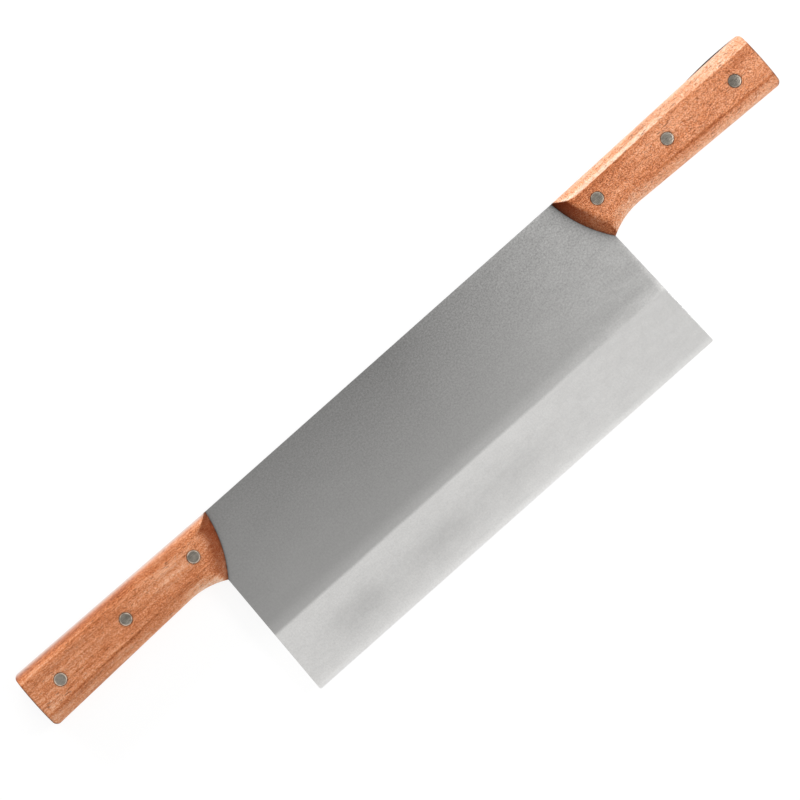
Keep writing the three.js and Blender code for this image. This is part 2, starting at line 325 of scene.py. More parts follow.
def bevel_height(x, y, look):
    """Height of the front bevel. It starts steep at the blade and leans back towards its ridge."""
    across = front_distance(x, y) / np.interp(-y, *look["bevel_run"])
    inside = np.clip(across, 0, 1)
    last_slope = look["bevel_last_slope"]
    curve = last_slope * across + (1 - last_slope) * inside * (2 - inside)
    return FRONT_FOOT + (SCALE_THICKNESS - FRONT_FOOT) * curve


def ease(distance, size):
    """Drop of a worn edge."""
    width, drop = size
    return drop * np.clip(1 - distance / width, 0, 1) ** 2


def scale_height(x, y, look):
    """Height of a scale above its glued face."""
    blend = between(look["bevel_blend"], away_from_back(x, y))
    height = smooth_min(finished_height(x, y, look), bevel_height(x, y, look), blend)
    sides = ease(back_y(x) - y, SIDE_EASE) + ease(belly_distance(x, y), SIDE_EASE)
    ends = ease(butt_x(y) - x, BUTT_EASE) + ease(front_distance(x, y), FOOT_EASE)
    return np.maximum(height - sides - ends, THINNEST_WOOD)


# Meshes

ROUND_SEGMENTS = 64
SHARP_ANGLE = math.radians(32)
SAME_POINT = 1e-6  # metres between points that become one


def in_frame(points, side, face, base):
    """Points drawn from the middle of the spine, with heights over a base plane, as frame coordinates."""
    points = np.asarray(points, float)
    x = SIDES[side] * points[:, 0]
    y = SPINE_Y + points[:, 1]
    z = MIDDLE_Z + FACES[face] * (base + points[:, 2])
    return np.stack([x, y, z], axis=1) * MM


def drawn_places(piece):
    """A piece's points as drawn for the right-hand end, with heights from the blade's middle."""
    places = np.empty(3 * len(piece.data.vertices))
    piece.data.vertices.foreach_get("co", places)
    x, y, z = (places / MM).reshape(-1, 3).T
    return np.abs(x), y - SPINE_Y, np.abs(z - MIDDLE_Z)


def store(piece, name, values):
    """Keeps a value for each of a piece's points, for its material."""
    layer = piece.data.attributes.new(name, "FLOAT", "POINT")
    layer.data.foreach_set("value", values.astype(np.float32))


def new_object(name, points, faces):
    mesh = bpy.data.meshes.new(name)
    mesh.from_pydata([tuple(point) for point in points], [], faces)
    shape = bmesh.new()
    shape.from_mesh(mesh)
    bmesh.ops.remove_doubles(shape, verts=shape.verts, dist=SAME_POINT)
    bmesh.ops.recalc_face_normals(shape, faces=shape.faces)
    shape.to_mesh(mesh)
    shape.free()
    piece = bpy.data.objects.new(name, mesh)
    bpy.context.scene.collection.objects.link(piece)
    return piece


def smooth(piece):
    piece.data.shade_smooth()
    piece.data.set_sharp_from_angle(angle=SHARP_ANGLE)


def cut(piece, cutters):
    """Takes the cutters' volumes out of a piece."""
    for cutter in cutters:
        modifier = piece.modifiers.new("cut", "BOOLEAN")
        modifier.object = cutter
        modifier.operation = "DIFFERENCE"
        modifier.solver = "EXACT"
    graph = bpy.context.evaluated_depsgraph_get()
    mesh = bpy.data.meshes.new_from_object(piece.evaluated_get(graph))
    piece.modifiers.clear()
    piece.data = mesh
    for cutter in cutters:
        bpy.data.objects.remove(cutter)


def ring_faces(first, second):
    """Faces between two closed rows of points. A row that is one point many times gives triangles."""
    faces = []
    for here in range(len(first)):
        after = (here + 1) % len(first)
        corners = dict.fromkeys((first[here], first[after], second[after], second[here]))
        faces.append(list(corners))
    return faces


def turned(name, profile, centre, side, face):
    """A turned solid from (radius, height) pairs, from axis to axis, with heights from the blade's middle."""
    angles = np.linspace(0, 2 * math.pi, ROUND_SEGMENTS, endpoint=False)
    points = []
    rings = []
    for radius, height in profile:
        start = len(points)
        if radius == 0:
            rings.append([start] * ROUND_SEGMENTS)
            points.append((*centre, height))
            continue
        rings.append(list(range(start, start + ROUND_SEGMENTS)))
        for angle in angles:
            x = centre[0] + radius * math.cos(angle)
            y = centre[1] + radius * math.sin(angle)
            points.append((x, y, height))
    faces = []
    for lower, upper in zip(rings, rings[1:]):
        faces += ring_faces(lower, upper)
    return new_object(name, in_frame(points, side, face, 0), faces)


# Scales. Rows and columns of their surface lie at distances in from its borders, closest at the worn edges.
EDGE_STEPS = (0, 0.12, 0.3, 0.55, 0.85, 1.2, 1.6)
FINE_STEP = 0.3
PAST_RIDGE = 1.8
MIDDLE_COLUMNS = 10
MIDDLE_ROWS = 72
GRID_ROUNDS = 8  # rows and columns bend with each other, and settle in a few rounds
WALL_SUPPORT = 0.35  # height of the narrow strip that keeps the side walls' shading upright


def border_steps(width):
    fine = np.arange(EDGE_STEPS[-1] + FINE_STEP, width + PAST_RIDGE, FINE_STEP)
    return np.concatenate([EDGE_STEPS, fine])


def laid_out(first, last, first_steps, last_steps, middle):
    """Places down the rows: at steps in from the first and the last border, and evenly between."""
    near = len(first_steps)
    far = len(last_steps)
    start = first[near:-far] + first_steps[-1]
    stop = last[near:-far] - last_steps[-1]
    share = np.linspace(0, 1, middle + 2)[1:-1, None]
    upper = first[:near] + first_steps[:, None]
    lower = last[-far:] - last_steps[::-1, None]
    return np.vstack([upper, between((start, stop), share), lower])


def scale_grid(look):
    """Plan positions of a scale's surface points: rows from front end to butt, columns from belly to back."""
    front_steps = border_steps(max(look["bevel_run"][1]))
    butt_steps = np.array(EDGE_STEPS)
    belly_steps = border_steps(BELLY_FACET_WIDTH)
    back_steps = border_steps(BACK_FACET_WIDTH)
    rows = len(front_steps) + MIDDLE_ROWS + len(butt_steps)
    columns = len(belly_steps) + MIDDLE_COLUMNS + len(back_steps)
    y = np.tile(np.linspace(-WAIST_DEPTH, 0, columns), (rows, 1))
    for _ in range(GRID_ROUNDS):
        x = laid_out(front_x(y), butt_x(y), front_steps, butt_steps, MIDDLE_ROWS)
        y = laid_out(belly_y(x).T, back_y(x).T, belly_steps, back_steps, MIDDLE_COLUMNS).T
    return x, y


def scale_shape(name, side, face, look):
    """A scale: its worn surface, side walls down to the glued face, and the holes for its rivets."""
    x, y = scale_grid(look)
    points = np.stack([x, y, scale_height(x, y, look)], axis=-1).reshape(-1, 3)
    number = np.arange(x.size).reshape(x.shape)
    corners = [number[:-1, :-1], number[:-1, 1:], number[1:, 1:], number[1:, :-1]]
    faces = np.stack(corners, axis=-1).reshape(-1, len(corners)).tolist()
    border = np.concatenate([number[0, :-1], number[:-1, -1], number[-1, :0:-1], number[:0:-1, 0]])
    rim = points[border]
    support = np.maximum(rim[:, 2] - WALL_SUPPORT, rim[:, 2] / 2)
    rings = [border.tolist()]
    for height in (support, 0):
        ring = rim.copy()
        ring[:, 2] = height
        rings.append(list(range(len(points), len(points) + len(ring))))
        points = np.vstack([points, ring])
    for upper, lower in zip(rings, rings[1:]):
        faces += ring_faces(upper, lower)
    faces.append(rings[-1])
    piece = new_object(name, in_frame(points, side, face, GLUED_Z), faces)
    cut(piece, [scale_cutter(side, face, place) for place in RIVETS])
    smooth(piece)
    mark_wear_and_painted_light(piece, side, look)
    return piece


def scale_cutter(side, face, place):
    """Hole for a rivet through a scale, with the counterbore for its head."""
    centre, head = rivet_place(side, place)
    reach = head + HEAD_CLEARANCE
    hole = SLEEVE_DIAMETER / 2 + HOLE_CLEARANCE
    above = FACE_Z + HEAD_HEIGHT
    profile = [(0, 0), (hole, 0), (hole, SEAT_Z), (reach, SEAT_Z), (reach, above), (0, above)]
    return turned("cutter", profile, centre, side, face)


def bare_wood(x, y, look):
    """From 0 on the finished faces to 1 on the front bevel, which is cut across the grain."""
    away = away_from_back(x, y)
    drop = finished_height(x, y, look) - bevel_height(x, y, look)
    return np.clip((1 - away) / 2 + drop / between(look["bevel_fade"], away), 0, 1)


# Paleness across the back facet, partly painted light, with a painted highlight along the ridge.
def back_paleness_and_highlight(x, y, look):
    across = (back_y(x) - y) / back_facet_width(x, look)
    stations = look["back_pale_and_highlight"]
    station = np.interp(along_grip(x), list(stations), range(len(stations)))
    pale = np.zeros(len(x))
    for number, curve in enumerate(stations.values()):
        pale += np.interp(across, *curve) * np.clip(1 - np.abs(station - number), 0, 1)
    return pale


def wood_paleness_and_painted_light(x, y, look):
    """Paleness of the finished faces, partly pale dry wood and partly painted light on the facets, less
    painted shade along the belly ridge.
    """
    belly = belly_distance(x, y)
    across_belly = np.clip(1 - belly / BELLY_FACET_WIDTH, 0, 1)
    near_hook = look["pale_hook"] * bell(x - HOOK_X, HOOK_LENGTH) * across_belly
    # painted light on the belly facet, strongest at the outline, and paleness near the hook tip
    belly_light = look["belly_painted_light"] * across_belly**BELLY_LIGHT_POWER + near_hook
    # painted shade along the belly ridge
    ridge_shade = look["ridge_shade"] * np.interp(along_grip(x), RIDGE_SHADE_START, (0, 1))
    ridge_shade = ridge_shade * bell(belly - BELLY_FACET_WIDTH, RIDGE_SHADE_WIDTH)
    return np.where(across_belly > 0, belly_light, back_paleness_and_highlight(x, y, look)) - ridge_shade


def mark_wear_and_painted_light(piece, side, look):
    """Stores the wood's paleness with painted light and shade, its rubbed outline with painted sheen, painted
    shade at the bevel's foot, the rivets and the butt, and where it is cut across the grain, with painted
    shade on the bevel.
    """
    x, y, z = drawn_places(piece)
    rivets = [rivet_place(side, place) for place in RIVETS]
    near_rivet = np.min([np.hypot(x - centre[0], y - centre[1]) - head for centre, head in rivets], axis=0)
    front = front_distance(x, y)
    depth = np.clip(-y / HOOK_DEPTH, 0, 1)
    bare = bare_wood(x, y, look)
    oil = look["hook_oil"] * depth * bell(np.clip(front, 0, None), HOOK_OIL_REACH)
    # paleness of dry wood with painted light and shade on the facets, less the oil-soaked darkening
    store(piece, "paleness_and_painted_light", wood_paleness_and_painted_light(x, y, look) * (1 - bare) - oil)

    # rubbed wood with painted sheen along the back outline
    share, reach = look["rub_and_sheen_back"]
    rub_and_sheen = np.clip(share * falling(back_y(x) - y, reach), 0, 1)
    upper = np.isclose(z - GLUED_Z, scale_height(x, y, look), atol=WALL_SUPPORT / 2)
    store(piece, "rub_and_sheen", rub_and_sheen * upper * (1 - bare))

    # painted shade at the bevel's foot, round the rivets and along the butt
    foot = between(look["foot_shade"], depth) * falling(front, look["foot_reach"])
    around_rivets = RIVET_GAP_SHADE * falling(near_rivet, RIVET_GAP_SHADE_REACH)
    share, width = BUTT_SHADE
    butt_line = share * bell(butt_x(y) - x, width) * away_from_back(x, y)
    store(piece, "painted_shade", np.maximum.reduce([foot, around_rivets, butt_line]))
    # end grain of the front bevel, deepened by painted shade that changes from spine to hook tip
    store(piece, "end_grain_and_painted_shade", bare * np.interp(depth, *look["bevel_end_grain_and_shade"]))


# Blade plate
CORNER_STEPS = 9
BUTT_STEPS = 6
HOOK_STEPS = 24
PROUD_STEPS = 15
GRIND_REACH = 3.0  # rows lie close together this far above and below the grind line
GRIND_ROWS = 13
FLAT_END = 1.3  # where the flat's single face ends above the grind line, as a share of that reach
BAND_ROWS = 8
BAND_END = 1.6  # where the band's even rows end, as a share of the honed bevel's height
EDGE_ROWS = np.array([1.45, 1.3, 1.15, 1, 0.85, 0.7, 0.55, 0.3, 0.2, 0.1, 0.04, 0])  # likewise
EASE_MARGIN = 0.1  # allowed in finding the edges to round
EASE_THINNEST = 0.3  # half thickness below which no edge is rounded


def end_x(y):
    """Half length of the blade below the grips, with its rounded edge corners."""
    lean = END_FLARE * (-HOOK_DEPTH - y) / (BLADE_HEIGHT - HOOK_DEPTH)
    return HOOK_X + lean - corner_inset(y + BLADE_HEIGHT, EDGE_CORNER_RADIUS)


def half_thickness(y):
    """Half thickness of the plate at a depth below the spine."""
    edge = y + BLADE_HEIGHT
    bevel_top = EDGE_BEVEL_THICKNESS / 2
    slope = (HALF_BLADE - bevel_top) / (GRIND_HEIGHT - EDGE_BEVEL_HEIGHT)
    band = bevel_top + (edge - EDGE_BEVEL_HEIGHT) * slope
    bevel = between((EDGE_LAND / 2, bevel_top), edge / EDGE_BEVEL_HEIGHT)
    return smooth_min(smooth_min(HALF_BLADE, band, GRIND_SOFTNESS), bevel, EDGE_SOFTNESS)


def grip_border():
    """The tang's outline on the right, from the spine round the butt to the hook tip."""
    middle = (BUTT_RISE - BUTT_DEPTH) / 2
    corner = BUTT_RISE - np.linspace(0, BUTT_CORNER_RADIUS, CORNER_STEPS) ** 2 / BUTT_CORNER_RADIUS
    upper = np.concatenate([corner, np.linspace(BUTT_RISE - BUTT_CORNER_RADIUS, middle, BUTT_STEPS)[1:]])
    y_butt = np.concatenate([upper, (BUTT_RISE - BUTT_DEPTH - upper)[::-1][1:]])
    butt = np.stack([butt_x(y_butt), y_butt], axis=1)
    butt[0, 1] = back_y(butt[0, 0])
    butt[-1, 1] = belly_y(butt[-1, 0])
    x_belly = np.linspace(waist[0], HOOK_X, HOOK_STEPS)
    belly = np.stack([x_belly, belly_y(x_belly)], axis=1)
    return np.vstack([front_top, butt, belly])


def proud_back():
    x = np.linspace(*PROUD_TANG, PROUD_STEPS)
    swell = np.sin(np.linspace(0, math.pi, PROUD_STEPS))
    return np.stack([x, back_y(x) + PROUD_HEIGHT * swell], axis=1)


def plate_rows():
    """Depths of the plate's rows, from just above the grind line down to the edge."""
    ridge = GRIND_HEIGHT - BLADE_HEIGHT
    soft = np.linspace(ridge + GRIND_REACH, ridge - GRIND_REACH, GRIND_ROWS)
    band_end = BAND_END * EDGE_BEVEL_HEIGHT - BLADE_HEIGHT
    band = np.linspace(ridge - GRIND_REACH, band_end, BAND_ROWS)[1:]
    edge = EDGE_BEVEL_HEIGHT * EDGE_ROWS - BLADE_HEIGHT
    return np.concatenate([[ridge + FLAT_END * GRIND_REACH], soft, band, edge])


def blade_shape():
    """The plate: one flat face with both tangs and rows of narrow faces below it, on either side."""
    depths = plate_rows()
    flat = np.vstack([grip_border(), [[end_x(depths[0]), depths[0]]]])
    right_flat = np.vstack([flat[:1], proud_back(), flat[1:]])
    outline = np.vstack([right_flat, flat[::-1] * [-1, 1]])
    half = len(right_flat)
    points = []
    faces = []
    loops = []
    for face in FACES.values():
        top = list(range(len(points), len(points) + len(outline)))
        points += [(x, y, face * HALF_BLADE) for x, y in outline]
        faces.append(top)
        right = [top[half - 1]]
        left = [top[half]]
        for y in depths[1:]:
            right.append(len(points))
            left.append(len(points) + 1)
            points += [(sign * end_x(y), y, face * half_thickness(y)) for sign in (1, -1)]
        for row in range(len(depths) - 1):
            faces.append((right[row], right[row + 1], left[row + 1], left[row]))
        loops.append(top[:half] + right[1:] + left[:0:-1] + top[half:])
    faces += ring_faces(*loops)
    piece = new_object("blade_plate", in_frame(points, "right", "front", 0), faces)
    cut(piece, [tang_cutter(side, place) for side in SIDES for place in RIVETS])
    ease_plate(piece)
    smooth(piece)
    return piece


def tang_cutter(side, place):
    """Hole for a rivet's sleeve through a tang."""
    hole = SLEEVE_DIAMETER / 2 + HOLE_CLEARANCE
    reach = 2 * HALF_BLADE
    profile = [(0, -reach), (hole, -reach), (hole, reach), (0, reach)]
    return turned("cutter", profile, rivet_place(side, place)[0], side, "front")


def ease_plate(piece):
    """Rounds the long edges of the spine and the blade's ends."""
    shape = bmesh.new()
    shape.from_mesh(piece.data)
    weight = shape.edges.layers.float.new("bevel_weight_edge")
    spine_least = SPINE_Y - EASE_MARGIN
    ends_most = SPINE_Y - HOOK_DEPTH + EASE_MARGIN
    for edge in shape.edges:
        a, b = (vertex.co / MM for vertex in edge.verts)
        level = abs(a.z - b.z) < HALF_BLADE / 2
        thick = min(abs(a.z - MIDDLE_Z), abs(b.z - MIDDLE_Z)) > EASE_THINNEST
        spine = min(a.y, b.y) > spine_least and max(abs(a.x), abs(b.x)) < FRONT_X + EASE_MARGIN
        ends = min(abs(a.x), abs(b.x)) > HOOK_X - EASE_MARGIN and max(a.y, b.y) < ends_most
        if level and thick and (spine or ends):
            edge[weight] = 1
    shape.to_mesh(piece.data)
    shape.free()
    bevel = piece.modifiers.new("eased_edges", "BEVEL")
    bevel.limit_method = "WEIGHT"
    bevel.width = EASED_EDGE * MM
    bevel.segments = EASED_STEPS
    shading = piece.modifiers.new("level_shading", "WEIGHTED_NORMAL")
    shading.keep_sharp = True


# Rivets


def rivet_shape(name, side, place, half):
    """Half of a rivet: a domed head with its sleeve from the front, or with its pin from the back."""
    centre, head = rivet_place(side, place)
    low, high = (corner.z / MM - MIDDLE_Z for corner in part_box(f"{side}_{place}_rivet_{half}"))
    radii = [head - RIM_WIDTH + RIM_FADE, head - RIM_WIDTH, *(share * head for share in DOME_RINGS), 0]
    dome = [(radius, FACE_Z + HEAD_DOME * (1 - (radius / head) ** 2)) for radius in radii]
    crown = [(head, SEAT_Z), (head, FACE_Z - HEAD_CHAMFER), (head - HEAD_CHAMFER, FACE_Z), *dome]
    pin = PIN_DIAMETER / 2
    if half == "sleeve":
        sleeve = SLEEVE_DIAMETER / 2
        bore = pin + PIN_CLEARANCE
        stem = [(0, SEAT_Z), (bore, SEAT_Z), (bore, low), (sleeve, low), (sleeve, SEAT_Z)]
        face = "front"
    else:
        stem = [(0, -high), (pin, -high), (pin, SEAT_Z)]
        face = "back"
    piece = turned(name, stem + crown, centre, side, face)
    smooth(piece)
    x, y, _ = drawn_places(piece)
    reach = np.hypot(x - centre[0], y - centre[1])
    # painted highlight on the head's rim
    store(piece, "rim", RIM_HIGHLIGHT[side] * np.clip((reach - head + RIM_WIDTH) / RIM_FADE, 0, 1))
    # painted shade on the right outer rivet, painted light on the left outer one
    store(piece, "rivet_light_and_shade", np.full(len(reach), 1 - RIVET_SHADES.get((side, place), 1.0)))
    return piece


# Materials


class Nodes:
    """The nodes of one procedural material or of the world."""

    def __init__(self, holder):
        self.holder = holder
        holder.use_nodes = True
        self.tree = holder.node_tree
        self.tree.nodes.clear()
        self.coordinates = self.outputs("ShaderNodeTexCoord")

    def outputs(self, kind, inputs=(), **settings):
        """A new node's outputs by name. Its inputs are fed by name or in their order."""
        node = self.tree.nodes.new(kind)
        for name, value in settings.items():
            setattr(node, name, value)
        if isinstance(inputs, dict):
            pairs = [(node.inputs[name], value) for name, value in inputs.items()]
        else:
            pairs = zip([socket for socket in node.inputs if socket.enabled], inputs)
        for socket, value in pairs:
            if isinstance(value, Value):
                self.tree.links.new(value.socket, socket)
            else:
                socket.default_value = value
        return {socket.name: Value(self, socket) for socket in node.outputs if socket.enabled}

    def add(self, kind, inputs=(), output=None, **settings):
        """One output of a new node: the named one, or else the first."""
        outputs = self.outputs(kind, inputs, **settings)
        return outputs[output] if output else next(iter(outputs.values()))

    def stored(self, name):
        return self.add("ShaderNodeAttribute", output="Fac", attribute_name=name)

    def finish(self, inputs):
        shader = self.add("ShaderNodeBsdfPrincipled", inputs)
        self.outputs("ShaderNodeOutputMaterial", {"Surface": shader})
        return self.holder


class Value:
    """A number, place or colour that varies over a surface. What is done with it adds nodes."""

    def __init__(self, nodes, socket):
        self.nodes = nodes
        self.socket = socket

    def math(self, operation, other=0.0):
        return self.nodes.add("ShaderNodeMath", (self, other), operation=operation)

    __add__ = __radd__ = partialmethod(math, "ADD")
    __mul__ = __rmul__ = partialmethod(math, "MULTIPLY")
    __sub__ = partialmethod(math, "SUBTRACT")
    __truediv__ = partialmethod(math, "DIVIDE")
    __pow__ = partialmethod(math, "POWER")
    __abs__ = partialmethod(math, "ABSOLUTE")

    def __rsub__(self, other):
        return self.nodes.add("ShaderNodeMath", (other, self), operation="SUBTRACT")

    def fading(self):
        """From 1 at 0 down towards 0."""
        return (self * -1.0).math("EXPONENT")

    def fit(self, low, high, to_low=0.0, to_high=1.0, smooth_step=False):
        """Takes the range from low to high to another range, and stays at its ends beyond it."""
        inputs = {"Value": self, "From Min": low, "From Max": high, "To Min": to_low, "To Max": to_high}
        kind = "SMOOTHSTEP" if smooth_step else "LINEAR"
        return self.nodes.add("ShaderNodeMapRange", inputs, interpolation_type=kind)

    def blend(self, a, b):
        """Between two numbers, with this value as the share of the second."""
        return self.fit(0.0, 1.0, a, b)

    def mix(self, a, b):
        """Between two colours, likewise."""
        return self.nodes.add("ShaderNodeMix", (self, a, b), data_type="RGBA")

    def tinted(self, colour):
        """A colour made as bright as this value says."""
        return self.nodes.add("ShaderNodeMix", (1.0, self, colour), data_type="RGBA", blend_type="MULTIPLY")

    def ramp(self, stops):
        colour = self.nodes.add("ShaderNodeValToRGB", (self,))
        elements = colour.socket.node.color_ramp.elements
        for place, _ in stops[len(elements):]:
            elements.new(place)
        for element, (place, stop_colour) in zip(elements, stops):
            element.position = place
            element.color = stop_colour
        return colour

    def bump(self, distance, strength):
        return self.nodes.add("ShaderNodeBump", {"Height": self, "Distance": distance, "Strength": strength})

    def split(self):
        return list(self.nodes.outputs("ShaderNodeSeparateXYZ", (self,)).values())

    def vector(self, operation, other):
        return self.nodes.add("ShaderNodeVectorMath", (self, other), operation=operation)

    def mapping(self, scale=(1, 1, 1), move=(0, 0, 0), turn=0.0):
        inputs = {"Vector": self, "Scale": scale, "Location": move, "Rotation": (0, 0, turn)}
        return self.nodes.add("ShaderNodeMapping", inputs)

    def noise(self, cells, detail=2.0, roughness=0.5, distortion=0.0, turn=0.0, levels=None, output="Fac"):
        """Noise at this place, fitted to its levels if it has any."""
        inputs = {"Vector": self.mapping(cells, turn=turn), "Scale": 1.0, "Detail": detail}
        inputs.update({"Roughness": roughness, "Distortion": distortion})
        noise = self.nodes.add("ShaderNodeTexNoise", inputs, output)
        return noise.fit(*levels) if levels else noise

    def drifted(self, cells, reach):
        """This place moved to and fro by noise, over a reach along each axis."""
        centred = self.noise(cells, output="Color").vector("SUBTRACT", [NOISE_MIDDLE] * 3)
        return self.vector("ADD", centred.vector("MULTIPLY", reach))


def length(a, b):
    return (a * a + b * b).math("SQRT")


NOISE_MIDDLE = 0.5
SCREEN_WHITE = 255
SCREEN_OFFSET = 0.055
SCREEN_POWER = 2.4


def srgb(*channels):
    """A colour as seen on screen, from 0 to 255, as linear values with full cover."""
    shares = [channel / SCREEN_WHITE for channel in channels]
    linear = [((share + SCREEN_OFFSET) / (1 + SCREEN_OFFSET)) ** SCREEN_POWER for share in shares]
    return (*linear, 1)


def grey(level):
    return (level, level, level, 1)


# Wood. A pattern has its cells in a metre along and across the grain, its octaves and their roughness.
# Of its levels, the first two are taken to the last two, or to 0 and 1 if there are no more.
WOOD_TONES = [
    (0.32, srgb(126, 58, 33)),
    (0.42, srgb(177, 97, 58)),
    (0.50, srgb(204, 123, 77)),
    (0.58, srgb(224, 145, 97)),
    (0.68, srgb(240, 182, 145)),
    (0.82, srgb(250, 219, 195)),
]
WOOD_LEVELS = {"left": 0.535, "right": 0.53}  # of the middle of each side's grain among the tones
PALENESS_LIFT = 0.125  # how far up among the tones the paleness and painted light lie
PALENESS_STREAKS = (0.35, 0.65, 0.9, 1.1)  # levels of the streaks as factors on the paleness and painted light
LATE_WOOD = srgb(138, 70, 42)
PORE_WOOD = srgb(104, 52, 28)
# end-grain colour, also the colour of the front bevel's painted shade
END_GRAIN_AND_SHADE_WOOD = srgb(108, 38, 16)
# colour of the painted shade at the bevel's foot, round the rivets and along the butt
PAINTED_SHADE_WOOD = srgb(72, 36, 22)
# pale rubbed wood with painted sheen
RUB_AND_SHEEN_WOOD = srgb(206, 188, 180)
END_GRAIN_SHARE = 0.6
END_GRAIN_LEVELS = (0.8, 0.97)  # of how squarely a face looks along the grip
SWAY_CELLS = (16, 40, 40)
SWAY_REACH = (0, 0.005, 0.005)
GRAIN = {
    "streak": dict(cells=(26, 480, 480), detail=3, roughness=0.6),
    "fibre": dict(cells=(110, 1500, 1500), roughness=0.6),
    "broad": dict(cells=(12, 75, 75)),
    "figure": dict(cells=(70, 120, 120), detail=3, roughness=0.6, turn=0.6),
}
SPECKLE_CELLS = (3300, 3900, 3900)  # of fine irregular specks
SPECKLE_LEAN = {"left": 1.0, "right": 0.5}  # power that gathers the specks on the bright side when below 1
GRAIN_SHARES = {
    "left": {"streak": 0.27, "fibre": 0.21, "speckle": 0.27, "broad": 0.25, "figure": 0.12},
    "right": {"streak": 0.14, "fibre": 0.09, "speckle": 0.50, "broad": 0.22, "figure": 0.09},
}
RINGS_IN_METRE = 190.0
RING_DARKNESS = {0.0: 0.0, 0.5: 0.12, 0.80: 0.7, 0.90: 1.0, 1.0: 0.0}  # at shares of one ring
RING_WOBBLE = dict(cells=(12, 180, 180), detail=3)
RING_WOBBLE_REACH = 1.4  # in rings
RING_PATCHES = dict(cells=(14, 150, 150), levels=(0.36, 0.66))
RING_SHARES = {"left": 0.4, "right": 0.2}
PORES = dict(cells=(330, 1900, 1900), detail=1)
PORE_ROWS = dict(cells=(16, 260, 260))
PORE_ROW_SHARE = 0.25
PORE_LEVELS = (0.65, 0.71)
PORE_SHARES = {"left": 0.6, "right": 0.8}
# patches that break up the painted shade
PAINTED_SHADE_PATCHES = dict(cells=(420, 420, 420), detail=1, levels=(0.35, 0.65, 0.4, 1.0))
PAINTED_SHADE_SHARE = 0.75
FIBRE_GLOSS = 0.5  # share of the fibres in the gloss, against the pores
WOOD_ROUGHNESS = (0.0, 1.5, 0.34, 0.62)
BARE_ROUGHNESS = 0.3  # added on bare wood
OILED_GLOSS = 0.12
GRAIN_RELIEF = 1.5  # height of the grain against the depth of the pores
WOOD_BUMP = (0.00010, 0.4)  # depth in metres and strength
# Where the heart of the log lies from each scale, in metres, and the turn of its grain
LOGS = {
    ("left", "front"): ((0.031, 0.046, 0.031), 0.02),
    ("left", "back"): ((0.413, 0.052, 0.057), -0.015),
    ("right", "front"): ((0.127, 0.058, 0.043), -0.025),
    ("right", "back"): ((0.655, 0.047, 0.035), 0.018),
}


def grain_layers(place, side):
    layers = {kind: place.noise(**pattern) for kind, pattern in GRAIN.items()}
    cells = {"Vector": place.mapping(SPECKLE_CELLS), "Scale": 1.0}
    specks = place.nodes.add("ShaderNodeTexVoronoi", cells, "Color").split()[0]
    lean = SPECKLE_LEAN[side]
    lean_mean = 1 / (1 + lean)
    layers["speckle"] = specks**lean + (NOISE_MIDDLE - lean_mean)
    return layers


def growth_rings(place):
    """Darkness of the growth rings, which the grip cuts lengthwise."""
    _, across, deep = place.split()
    wobble = place.noise(**RING_WOBBLE) * RING_WOBBLE_REACH
    phase = (length(across, deep) * RINGS_IN_METRE + wobble).math("FRACT")
    course = [(share, grey(level)) for share, level in RING_DARKNESS.items()]
    return phase.ramp(course) * place.noise(**RING_PATCHES)


def open_pores(place):
    """Short dark pores that lie in rows."""
    rows = (place.noise(**PORE_ROWS) - NOISE_MIDDLE) * PORE_ROW_SHARE
    return (place.noise(**PORES) + rows).fit(*PORE_LEVELS)


def wood(name, side, log, turn):
    """Oiled reddish hardwood: streaks, fibres, speckle, growth rings and pores, then the marks of wear, with
    painted light and shade among them.
    """
    nodes = Nodes(bpy.data.materials.new(name))
    place = nodes.coordinates["Object"].mapping(move=log, turn=turn)
    grown = place.drifted(SWAY_CELLS, SWAY_REACH)
    layers = grain_layers(grown, side)
    grain = WOOD_LEVELS[side]
    for kind, share in GRAIN_SHARES[side].items():
        grain = grain + (layers[kind] - NOISE_MIDDLE) * share
    # paleness with painted light and shade on the facets lifts the grain among the tones
    paleness_and_painted_light = nodes.stored("paleness_and_painted_light") * layers["streak"].fit(*PALENESS_STREAKS) * PALENESS_LIFT
    colour = (grain + paleness_and_painted_light).ramp(WOOD_TONES)
    colour = (growth_rings(grown) * RING_SHARES[side]).mix(colour, LATE_WOOD)
    pores = open_pores(grown)
    colour = (pores * PORE_SHARES[side]).mix(colour, PORE_WOOD)

    # rubbed wood with painted sheen along the back outline
    colour = nodes.stored("rub_and_sheen").mix(colour, RUB_AND_SHEEN_WOOD)
    # end grain, with painted shade on the front bevel
    bare = nodes.stored("end_grain_and_painted_shade")
    end_grain = abs(nodes.coordinates["Normal"].split()[0]).fit(*END_GRAIN_LEVELS) * END_GRAIN_SHARE
    colour = bare.math("MAXIMUM", end_grain).mix(colour, END_GRAIN_AND_SHADE_WOOD)
    # painted shade at the bevel's foot, round the rivets and along the butt
    painted_shade = nodes.stored("painted_shade") * place.noise(**PAINTED_SHADE_PATCHES)
    colour = (painted_shade * PAINTED_SHADE_SHARE).mix(colour, PAINTED_SHADE_WOOD)

    rivet_light_and_shade = pores + layers["fibre"] * FIBRE_GLOSS
    relief = grain * GRAIN_RELIEF - pores
    return nodes.finish({
        "Base Color": colour,
        "Roughness": rivet_light_and_shade.fit(*WOOD_ROUGHNESS) + bare * BARE_ROUGHNESS,
        "Normal": relief.bump(*WOOD_BUMP),
        "Specular IOR Level": bare.blend(OILED_GLOSS, 0.0),
    })


